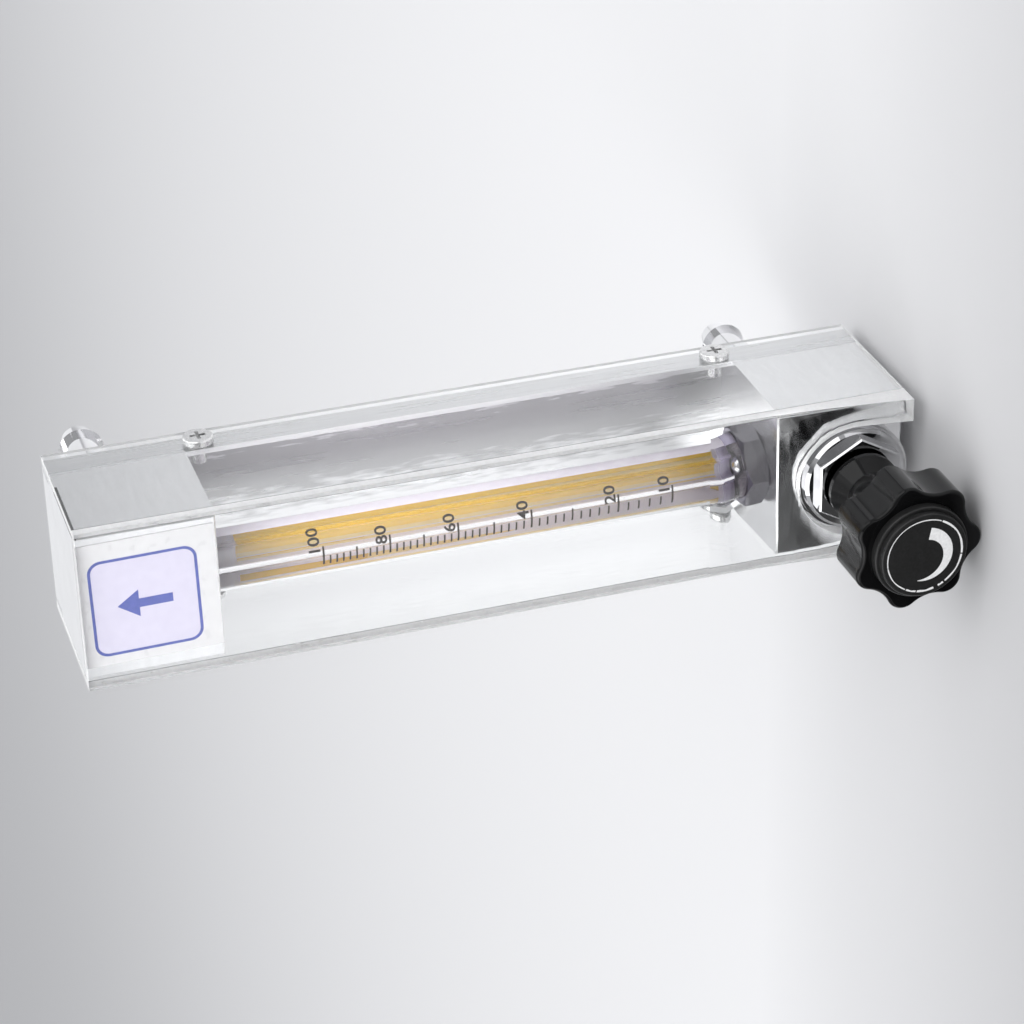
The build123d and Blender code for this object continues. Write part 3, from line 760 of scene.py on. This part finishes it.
# %% Ground ends
ring_gap = 0.04
ring_thickness = 0.05
ring_outer = tube_radius - tube_chamfer - 0.02
ground_ends = bmesh.new()
for end_z, end_bore in ((tube_low.z + 0.02, bore_foot_radius), (tube_high.z - 0.07, bore_top_radius)):
    ring_inner = end_bore + ring_gap
    top_z = end_z + ring_thickness
    ring_outline = [(ring_inner, end_z), (ring_outer, end_z), (ring_outer, top_z), (ring_inner, top_z)]
    merge_into(ground_ends, spun(ring_outline, steps=64))
piece("ground_ends", ground_ends, white_enamel)

# %% [markdown]
# The scale is printed on the front of the tube, and its divisions grow closer towards the top, because
# the gap round the float opens evenly while the flow does not. One smooth formula gives the height of
# any reading, so every line comes from it. All lines start at one edge, and those of the tens run on
# further, the numbered ones most. The odd tens have a plain line too, hidden in their longer one.

# %% Scale lines
scale_ink = painted(
    "scale_ink", (0.01, 0.006, 0.004), (0.03, 0.018, 0.012), rough=(0.5, 0.65), grain=3000,
    depth=0.000002, Specular_IOR_Level=0.1,
)
print_inner = tube_radius - 0.01
print_outer = tube_radius + 0.03
lines_start = -20
numbered = (10, 20, 40, 60, 80, 100)
numbered_line = (40.0, 0.36)
tens_line = (28.0, 0.32)
plain_line = (20.0, 0.32)
scale_foot_z = 31.89
even_rise = 0.62
early_rise = 20.1
early_readings = 22


def reading_height(reading):
    """Height in millimetres of a reading of the scale."""
    return scale_foot_z + even_rise * reading + early_rise * (1 - math.exp(-reading / early_readings))


def scale_line(reading, width, height):
    """A line of the scale, its width in degrees and its height in millimetres."""
    z = reading_height(reading)
    middle = lines_start + width / 2
    return bent_strip(width, middle, z - height / 2, z + height / 2, print_inner, print_outer, columns=8)


scale_lines = bmesh.new()
for reading in range(10, 101, 2):
    merge_into(scale_lines, scale_line(reading, *(numbered_line if reading in numbered else plain_line)))
for reading in (30, 50, 70, 90):
    merge_into(scale_lines, scale_line(reading, *tens_line))
piece("scale_lines", scale_lines, scale_ink)

# %% [markdown]
# The numerals stand upright along the tube and curve with it. A text object gives their outlines as flat
# faces, too long to bend, so these are first cut into narrow slices. Then they are thickened and bent as
# the strips are.

# %% Scale numerals
numeral_height = 2.25
numeral_rise = 0.6
numeral_start = math.radians(3.5)
numeral_widening = 1.16
digit_share = 0.73
stroke_gain = 0.05
slice_width = 0.35


def numeral(text, foot_z):
    """A number printed on the tube, upright along it."""
    curve = bpy.data.curves.new("numeral", "FONT")
    curve.body = text
    curve.size = numeral_height / digit_share
    curve.resolution_u = 4
    curve.offset = stroke_gain
    holder = bpy.data.objects.new("numeral", curve)
    flat = bpy.data.meshes.new_from_object(holder)
    shape = bmesh.new()
    shape.from_mesh(flat)
    bpy.data.objects.remove(holder)
    bpy.data.meshes.remove(flat)
    bmesh.ops.remove_doubles(shape, verts=shape.verts, dist=0.001)
    reach = max(corner.co.x for corner in shape.verts)
    cut = slice_width
    while cut < reach:
        everything = shape.verts[:] + shape.edges[:] + shape.faces[:]
        bmesh.ops.bisect_plane(shape, geom=everything, plane_co=(cut, 0, 0), plane_no=(1, 0, 0))
        cut += slice_width
    thickened(shape, (0, 0, 1))
    for corner in shape.verts:
        along, up, out = corner.co
        angle = numeral_start + along * numeral_widening / tube_radius
        corner.co = on_tube(print_inner + out * (print_outer - print_inner), angle, foot_z + up)
    bmesh.ops.recalc_face_normals(shape, faces=shape.faces)
    return shape


numerals = bmesh.new()
for reading in numbered:
    merge_into(numerals, numeral(str(reading), reading_height(reading) + numeral_rise))
piece("scale_numerals", numerals, scale_ink)

# %% [markdown]
# The label is a white film with a rounded blue frame round a pale lilac field, and a plain arrow that
# shows which way the flow goes. The frame starts as a square whose corners are bevelled, and bridging its
# outline to that of a smaller one leaves the line. All of it sits a touch askew, as print on a label that
# was put on by hand would.

# %% Label finishes
label_film = painted(
    "label_film", (0.74, 0.73, 0.745), (0.78, 0.77, 0.785), rough=(0.25, 0.4), grain=500, depth=0.000003
)
frame_blue = painted(
    "frame_blue", (0.04, 0.07, 0.36), (0.07, 0.1, 0.44), rough=(0.3, 0.45), grain=900, depth=0.000003
)
panel_lilac = painted(
    "panel_lilac", (0.67, 0.635, 0.78), (0.71, 0.675, 0.82), rough=(0.3, 0.4), grain=500, depth=0.000003
)
dress(label_film, "label_plate")

# %% Label print
label_face_y = box_mm("label_plate")[0].y
label_turn = Matrix.Rotation(math.radians(-0.8), 3, "Y")
frame_middle = Vector((-0.4, label_face_y + 0.002, 148.0))
frame_outside = (19.8, 20.0, 2.5)
frame_inside = (18.7, 18.9, 2.0)
field_size = (18.6, 18.8, 1.9)
upright = Matrix.Rotation(math.pi / 2, 3, "X")


def rounded_square(width, height, radius):
    """A flat rounded rectangle in the XZ plane, facing -Y."""
    shape = bmesh.new()
    bmesh.ops.create_grid(shape, x_segments=1, y_segments=1, size=0.5)
    bmesh.ops.scale(shape, vec=(width, height, 1), verts=shape.verts)
    bmesh.ops.bevel(
        shape, geom=shape.verts[:], offset=radius, offset_type="OFFSET", affect="VERTICES",
        segments=8, profile=0.5, material=-1,
    )
    bmesh.ops.rotate(shape, cent=(0, 0, 0), matrix=upright, verts=shape.verts)
    return shape


def print_on_label(name, shape, material, thickness):
    """Give a flat print its thickness and place it on the label."""
    thickened(shape, (0, -thickness, 0))
    bmesh.ops.recalc_face_normals(shape, faces=shape.faces)
    bmesh.ops.rotate(shape, cent=(0, 0, 0), matrix=label_turn, verts=shape.verts)
    bmesh.ops.translate(shape, vec=frame_middle, verts=shape.verts)
    piece(name, shape, material)


frame_shape = rounded_square(*frame_outside)
merge_into(frame_shape, rounded_square(*frame_inside))
bmesh.ops.delete(frame_shape, geom=frame_shape.faces[:], context="FACES_ONLY")
bmesh.ops.bridge_loops(frame_shape, edges=frame_shape.edges[:])
print_on_label("label_frame", frame_shape, frame_blue, thickness=0.03)
print_on_label("label_field", rounded_square(*field_size), panel_lilac, thickness=0.015)

# %% [markdown]
# The arrow is a single flat face through seven corners, printed a hair thicker than the field so that it
# lies on top.

# %% Flow arrow
arrow_outline = [(-0.9, -5.0), (0.9, -5.0), (0.9, 1.2), (2.8, 1.2), (0, 5.2), (-2.8, 1.2), (-0.9, 1.2)]
arrow = bmesh.new()
arrow.faces.new([arrow.verts.new((x, 0, z)) for x, z in arrow_outline])
print_on_label("flow_arrow", arrow, frame_blue, thickness=0.035)

# %% [markdown]
# The knob's cap carries a thin white ring and a tapering curve that shows which way the valve opens.
# Both are paint on the cap's face. Both are also arcs whose width changes along the way, so one helper
# bends a long grid into an arc and takes its two radii as functions.

# %% An arc on the cap
knob_white = painted("knob_white", grey(0.75), grey(0.88), rough=(0.3, 0.45), grain=2500, depth=0.000006)
cap_low, cap_high = box_mm("knob_cap")
paint_back_y = cap_low.y + 0.005
paint_thickness = 0.03
knob_axis_z = (cap_low.z + cap_high.z) / 2


def knob_arc(inner, outer, start, end, columns):
    """A flat arc on the cap, with its radii given by functions of the way along."""
    shape = bmesh.new()
    bmesh.ops.create_grid(shape, x_segments=columns, y_segments=1, size=0.5)
    thickened(shape, (0, 0, 1))
    for corner in shape.verts:
        along, across, out = corner.co
        share = along + 0.5
        angle = math.radians(start + share * (end - start))
        radius = inner(share) + (across + 0.5) * (outer(share) - inner(share))
        y = paint_back_y - paint_thickness * out
        corner.co = (radius * math.cos(angle), y, knob_axis_z + radius * math.sin(angle))
    bmesh.ops.recalc_face_normals(shape, faces=shape.faces)
    return shape


print("Knob axis at z in mm:", round(knob_axis_z, 2))

# %% [markdown]
# The ring's paint is uneven. So the ring is a row of arcs, each from one angle to another with its own
# width, and with small gaps between them.

# %% Knob ring
ring_radius = 7.38
ring_arcs = (
    (-24, 100, 0.2), (101, 150, 0.24), (152, 168, 0.34), (170, 196, 0.44),
    (203, 212, 0.4), (215, 262, 0.36), (264, 334, 0.38),
)


def ring_arc(start, end, width):
    """A stretch of the ring, whose inner side wavers."""
    return knob_arc(
        lambda share: ring_radius - width * (0.4 + 0.15 * math.sin(9 * share)),
        lambda share: ring_radius + width / 2,
        start, end, columns=40,
    )


ring = bmesh.new()
for start, end, width in ring_arcs:
    merge_into(ring, ring_arc(start, end, width))
piece("knob_ring", ring, knob_white, body="valve")

# %% [markdown]
# The curve tapers from a blunt head to a thin tail. Its outer radius shrinks evenly along the way, while
# its inner radius grows faster and faster, until the two nearly meet.

# %% Knob crescent
crescent = knob_arc(
    lambda share: 3.3 + 0.7 * share + 1.15 * share**3,
    lambda share: 5.75 - 0.5 * share,
    -11, -194, columns=60,
)
piece("knob_crescent", crescent, knob_white, body="valve")

# %% [markdown]
# The floor is a plain pale sheet, large enough to fill the view. It lies just under the knob, which
# reaches lowest.

# %% Floor
floor_gap = 0.0002
floor_reach = 12.0
floor_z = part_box("knob")[0].z - floor_gap
floor_mesh = bpy.data.meshes.new("floor")
sheet = bmesh.new()
bmesh.ops.create_grid(sheet, x_segments=1, y_segments=1, size=floor_reach)
bmesh.ops.translate(sheet, vec=(0, 0, floor_z), verts=sheet.verts)
sheet.to_mesh(floor_mesh)
sheet.free()
floor = bpy.data.objects.new("floor", floor_mesh)
scene.collection.objects.link(floor)
print("Floor at z in mm:", round(floor_z / MM, 2))

# %% [markdown]
# The floor is a little darker in front of the meter than behind it. Only mirror-like metal sees a dark
# patch close in front of the meter, and that patch is what gives the polished faces their contrast. So
# there are two paints, and the kind of ray chooses between them.

# %% Floor paint
floor_finish = Finish("floor_paint", Roughness=0.7, Specular_IOR_Level=0.2)
towards_back = floor_finish.spread(floor_finish.axis("Object", "Y"), 0.0, 1.0, start=-0.12, end=0.06)
floor_paint = floor_finish.tones(towards_back, (0.4, 0.4, 0.41), (0.72, 0.72, 0.73), start=0, end=1)
patch_distance = floor_finish.tree.nodes.new("ShaderNodeVectorMath")
patch_distance.operation = "DISTANCE"
patch_distance.inputs[1].default_value = (-0.02, -0.1, floor_z)
floor_finish.link(floor_finish.coords.outputs["Object"], patch_distance.inputs[0])
outside_patch = floor_finish.spread(patch_distance.outputs["Value"], 0.0, 1.0, start=0.05, end=0.07)
mirrored_paint = floor_finish.tones(outside_patch, grey(0.02), (0.82, 0.82, 0.83), start=0, end=1)
seen_in_mirror = floor_finish.tree.nodes.new("ShaderNodeLightPath").outputs["Is Glossy Ray"]
floor_finish.feed("Base Color", floor_finish.either(seen_in_mirror, floor_paint, mirrored_paint))
floor_mesh.materials.append(floor_finish.material)
print("Floor nodes:", len(floor_finish.tree.nodes))
